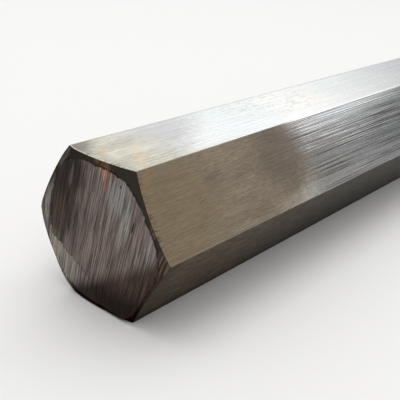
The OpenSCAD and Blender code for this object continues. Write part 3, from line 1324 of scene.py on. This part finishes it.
# Middle in the section, left and up from the axis, half sizes along and across the cut, colour and strength
SAWN_PATCHES = [
    (17.5, 8.0, 23.0, 12.5, SAWN_BLACK, 0.92),
    (10.5, 18.5, 11.5, 8.0, SAWN_BLACK, 0.9),
    (18.2, 2.0, 9.0, 4.0, SAWN_BROWN, 0.65),
    (9.5, -4.0, 9.0, 1.6, SAWN_BLACK, 0.3),
    (4.0, 5.0, 14.0, 1.8, SAWN_BLACK, 0.35),
    (-9.5, 16.0, 7.5, 5.0, PALE_CUT, 0.7),
    (-12.8, 9.5, 12.0, 1.9, PALE_GREEN, 0.75),
    (-22.5, 4.5, 7.0, 2.4, PALE_CORNER, 0.4),
    (14.0, 6.0, 7.0, 1.1, OCHRE, 0.3),
    (11.0, 16.5, 5.5, 0.9, PLUM, 0.55),
    (-19.0, 4.4, 5.0, 0.8, OLIVE, 0.5),
    (19.3, -5.2, 1.6, 3.0, OCHRE, 0.5),
    (-15.4, 8.2, 2.2, 0.35, SHADE_AND_PIT_BLACK, 0.95),
    (-10.3, 19.3, 0.6, 0.5, SHADE_AND_PIT_BLACK, 0.7),
    (-4.2, 21.6, 2.6, 3.0, ORANGE, 0.6),
    (-4.2, 18.8, 3.6, 1.1, ORANGE, 0.65),
]
PATCH_EDGE = {"Ragged": 1.1, "Grain": 1.4, "Stretch": 9.0}


def patched(tree, place, colour, patches):
    """The colour with the patches of a list laid over it in turn, each along the cut, and their masks."""
    masks = []
    for left, up, half_along, half_across, tint, strength in patches:
        mid_along, mid_across = cut_coordinates(np.complex128(left + 1j * up))
        mask = use_group(
            tree, STAIN, **place, Mid_Along=mid_along, Mid_Across=mid_across,
            Half_Along=half_along, Half_Across=half_across, **PATCH_EDGE)
        colour = laid_over(tree, colour, tint, mask, strength)
        masks.append(mask)
    return colour, masks


print(len(SAWN_PATCHES), "patches on the sawn face")

# %% [markdown]
# ## Streaks, shade and rim of the cut
# All patches are lightened and darkened by streaks along the saw marks. The low part of the end is painted
# brown, and its bottom black, as painted shade. That shade follows the height in the section, so it runs
# on over the chamfer and the facet. The saw tore the rim, and a broken dark line of painted shade lies
# along it.

# %% Streaks, shade and rim
# Brown of the painted shade in the low part of the end
LOW_SHADE_BROWN = (0.056, 0.038, 0.028, 1.0)
# Pitch, run, step of the seed, contrast and share
STREAKS = [(0.36, 13.0, 0.0, 3.2, 0.56), (0.8, 36.0, 0.5, 2.3, 0.28), (0.35, 1.2, 0.7, 2.4, 0.16)]
RIM_BREAKS = (3.0, 3.0, 9.5, 2.0)
RIM_BREAK_ACTS = (0.3, 0.6, 0.15, 0.8)
# Reach of the painted shade line from the rim, and heights in the section of the painted low shade, in
# millimetres
RIM_SHADE_REACH = (0.45, 0.1)
LOW_PART = (-11.5, -18.0)
BLACK_PART = (-10.0, -20.0)
LOW_SLOPE = 0.6


def streaks(tree, place, seed):
    """Lines of two widths along the cut, and specks, mixed by their shares."""
    parts = []
    for pitch, run, step, contrast, share in STREAKS:
        parts.append((grain_lines(tree, place, pitch, run, seed + step, contrast), share))
    return blended(tree, *parts)


def section_place(tree):
    """Place in the section in millimetres, left of the axis and up from it."""
    place = add_node(tree, "ShaderNodeTexCoord").outputs["Object"]
    spot = add_node(tree, "ShaderNodeSeparateXYZ", {0: place}).outputs
    left = maths(tree, "DIVIDE", spot["Y"], MM)
    up = maths(tree, "DIVIDE", maths(tree, "SUBTRACT", spot["Z"], axis_z), MM)
    return left, up


def low_shaded(tree, section, colour, strength):
    """The colour with painted shade: brown in the low part of the end and black at its bottom."""
    left, up = section
    level = maths(tree, "MULTIPLY_ADD", left, LOW_SLOPE, up)
    shade = mixed(tree, eased(tree, up, *BLACK_PART), LOW_SHADE_BROWN, SHADE_AND_PIT_BLACK)
    return mixed(tree, eased(tree, level, *LOW_PART, 0.0, strength), colour, shade)


def rim_shade_line(tree, place):
    """Broken dark line of painted shade along the rim of the sawn face, where the saw tore the edge."""
    broken = eased(tree, grain_lines(tree, place, *RIM_BREAKS), *RIM_BREAK_ACTS)
    return product(tree, eased(tree, stored(tree, "rim_gap"), *RIM_SHADE_REACH), broken)


print("low part of the end starts", LOW_PART[0], "mm from the axis")

# %% [markdown]
# ## Sawn face
# The face is dull metal, rough across its marks. Its streaks also follow the depth of the real marks in
# the mesh, so that colour and relief agree: what lies deeper is darker. The same streaks give a finer
# bump than the mesh can hold.

# %% Finish of the sawn face
DEEP_LINES = (1.5, 30.0, 4.8, 2.2)
DEEP_ACTS = (0.58, 0.8, 0.0, 0.4)
SAWN_STREAK_ACTS = (0.12, 0.88, 0.42, 1.68)
SAWN_SEED = 4.0
MARKS_SHARE = 0.9
SAWN_RELIEF = 0.03 * MM


def sawn_face():
    """Patches on a dull middle tone, with painted shade low down and at the rim, streaked along the saw
    marks.
    """
    material, tree, shader, place = steel_finish("sawn_face", roughness=0.5, anisotropy=0.5)
    streak = streaks(tree, place, SAWN_SEED)
    streak = maths(tree, "MULTIPLY_ADD", stored(tree, "mark_depth"), -MARKS_SHARE, streak)
    deep = eased(tree, grain_lines(tree, place, *DEEP_LINES), *DEEP_ACTS)
    colour, _ = patched(tree, place, mixed(tree, deep, SAWN_MID, SAWN_BLACK), SAWN_PATCHES)
    colour = low_shaded(tree, section_place(tree), colour, strength=0.96)
    colour = scaled(tree, colour, eased(tree, streak, *SAWN_STREAK_ACTS))
    colour = mixed(tree, rim_shade_line(tree, place), colour, SHADE_AND_PIT_BLACK)
    tree.links.new(colour, shader.inputs["Base Color"])
    bump_from(tree, shader, streak, SAWN_RELIEF)
    return material


dress(sawn_face())

# %% [markdown]
# ## Chamfer
# The chamfer is smooth and nearly black above and to the right, where it faces the dim room, and that near
# black colour is in part painted shade. It is rough and brown at the right corner, and worn to a streaky
# grey at the left. So only its patches are streaked and have a bump. A duller tint keeps its glint down at
# low angles.

# %% Finish of the chamfer
# Near black base of the chamfer, in part painted shade of the dim room that it faces
CHARCOAL = (0.040, 0.034, 0.0265, 1.0)
WORN = (0.205, 0.184, 0.156, 1.0)
BROWN = (0.10, 0.072, 0.058, 1.0)
RUST = (0.13, 0.066, 0.034, 1.0)
ASH = grey(0.15, 0.12)
CRESCENT = grey(0.185, 0.1)
DULL_GLINT = (0.45, 0.42, 0.38, 1.0)

# Rows as for the sawn face
CHAMFER_PATCHES = [
    (-27.0, 0.5, 5.0, 3.5, BROWN, 0.8),
    (-22.8, 8.5, 5.5, 2.0, BROWN, 0.45),
    (-2.4, 24.2, 1.5, 5.5, RUST, 0.55),
    (15.8, 22.4, 5.5, 3.4, ASH, 0.85),
    (24.0, 0.0, 16.0, 7.5, CRESCENT, 1.0),
    (17.0, -17.0, 12.0, 8.0, WORN, 1.0),
]
COARSE_LINES = (0.8, 12.0, 6.3, 3.0)
COARSE_ACTS = (0.2, 0.8, 0.55, 1.5)
CHAMFER_STREAK_ACTS = (0.2, 0.8, 0.45, 1.65)
CHAMFER_SEED = 6.0
# Reach of the painted shade line from the outer edge, and place left of the axis, in millimetres
EDGE_SHADE_REACH = (0.9, 0.1)
EDGE_SHADE_SIDE = (11.0, 18.0, 0.0, 0.85)
WORN_RELIEF = 0.02 * MM


def edge_shade_line(tree, section):
    """Dark line of painted shade along the outer edge on the left, where the flats fall away."""
    on_left = eased(tree, section[0], *EDGE_SHADE_SIDE)
    return product(tree, on_left, eased(tree, stored(tree, "edge_gap"), *EDGE_SHADE_REACH))


def turned_chamfer():
    """Charcoal with patches, which alone are streaked and rough, and lines of painted shade on its two edges.
    """
    material, tree, shader, place = steel_finish("turned_chamfer", roughness=0.4, anisotropy=0.4)
    shader.inputs["Specular Tint"].default_value = DULL_GLINT
    section = section_place(tree)
    colour, masks = patched(tree, place, CHARCOAL, CHAMFER_PATCHES)
    rough_part = 0.0
    for mask in masks:
        rough_part = maths(tree, "MAXIMUM", mask, rough_part)
    colour = low_shaded(tree, section, colour, strength=0.85)
    streak = streaks(tree, place, CHAMFER_SEED)
    coarse = grain_lines(tree, place, *COARSE_LINES)
    streaked = scaled(tree, colour, eased(tree, streak, *CHAMFER_STREAK_ACTS))
    streaked = scaled(tree, streaked, eased(tree, coarse, *COARSE_ACTS))
    colour = mixed(tree, rough_part, colour, streaked)
    colour = mixed(tree, rim_shade_line(tree, place), colour, SHADE_AND_PIT_BLACK)
    colour = mixed(tree, edge_shade_line(tree, section), colour, SHADE_AND_PIT_BLACK)
    tree.links.new(colour, shader.inputs["Base Color"])
    bump_from(tree, shader, product(tree, streak, rough_part), WORN_RELIEF)
    return material


dress(turned_chamfer())

# %% [markdown]
# ## Ground facet
# The facet has the tone of the sawn face on its low side and is worn to grey on its upper side, next to
# the chamfer's worn part. It takes the sawn face's streaks, with the same seed, so that they run on over
# its torn edge.

# %% Finish of the ground facet
FACET_WEAR = (-5.0, 4.0)
FACET_STREAK_ACTS = (0.2, 0.8, 0.4, 1.7)


def ground_facet():
    """The sawn face's tone, worn to grey on the facet's upper side, then shaded low down and streaked."""
    material, tree, shader, place = steel_finish("ground_facet", roughness=0.45, anisotropy=0.5)
    section = section_place(tree)
    beside = blended(tree, (section[0], -facet_way.imag), (section[1], facet_way.real))
    colour = mixed(tree, eased(tree, beside, *FACET_WEAR), SAWN_MID, WORN)
    colour = low_shaded(tree, section, colour, strength=0.97)
    streak = streaks(tree, place, SAWN_SEED)
    colour = scaled(tree, colour, eased(tree, streak, *FACET_STREAK_ACTS))
    colour = mixed(tree, edge_shade_line(tree, section), colour, SHADE_AND_PIT_BLACK)
    tree.links.new(colour, shader.inputs["Base Color"])
    bump_from(tree, shader, streak, WORN_RELIEF)
    return material


dress(ground_facet())

# %% [markdown]
# ## Finish of the plain end
# The far end is a cleaner cut than the near one, and its grain lies another way. Lines of two widths,
# between a darker and a paler grey, are enough for it.

# %% Finish of the plain end
CUT_DARK = grey(0.30, 0.06)
CUT_PALE = grey(0.52, 0.05)
FINE_CUT = (0.35, 30.0, 8.0, 1.6)
BROAD_CUT = (2.2, 60.0, 9.0, 1.6)
CUT_ACTS = (0.25, 0.75)
CUT_RELIEF = 0.02 * MM


def plain_cut():
    """Grey that goes from dark to pale with the mean of fine and broad lines."""
    material, tree, shader, place = steel_finish("plain_cut", roughness=0.4, anisotropy=0.6)
    fine = grain_lines(tree, place, *FINE_CUT)
    broad = grain_lines(tree, place, *BROAD_CUT)
    line = blended(tree, (fine, 0.5), (broad, 0.5))
    colour = mixed(tree, eased(tree, line, *CUT_ACTS), CUT_DARK, CUT_PALE)
    tree.links.new(colour, shader.inputs["Base Color"])
    bump_from(tree, shader, line, CUT_RELIEF)
    return material


dress(plain_cut())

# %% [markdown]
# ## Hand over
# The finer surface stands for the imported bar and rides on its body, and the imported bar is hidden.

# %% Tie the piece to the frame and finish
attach(bar, "root")
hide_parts("hex_bar")
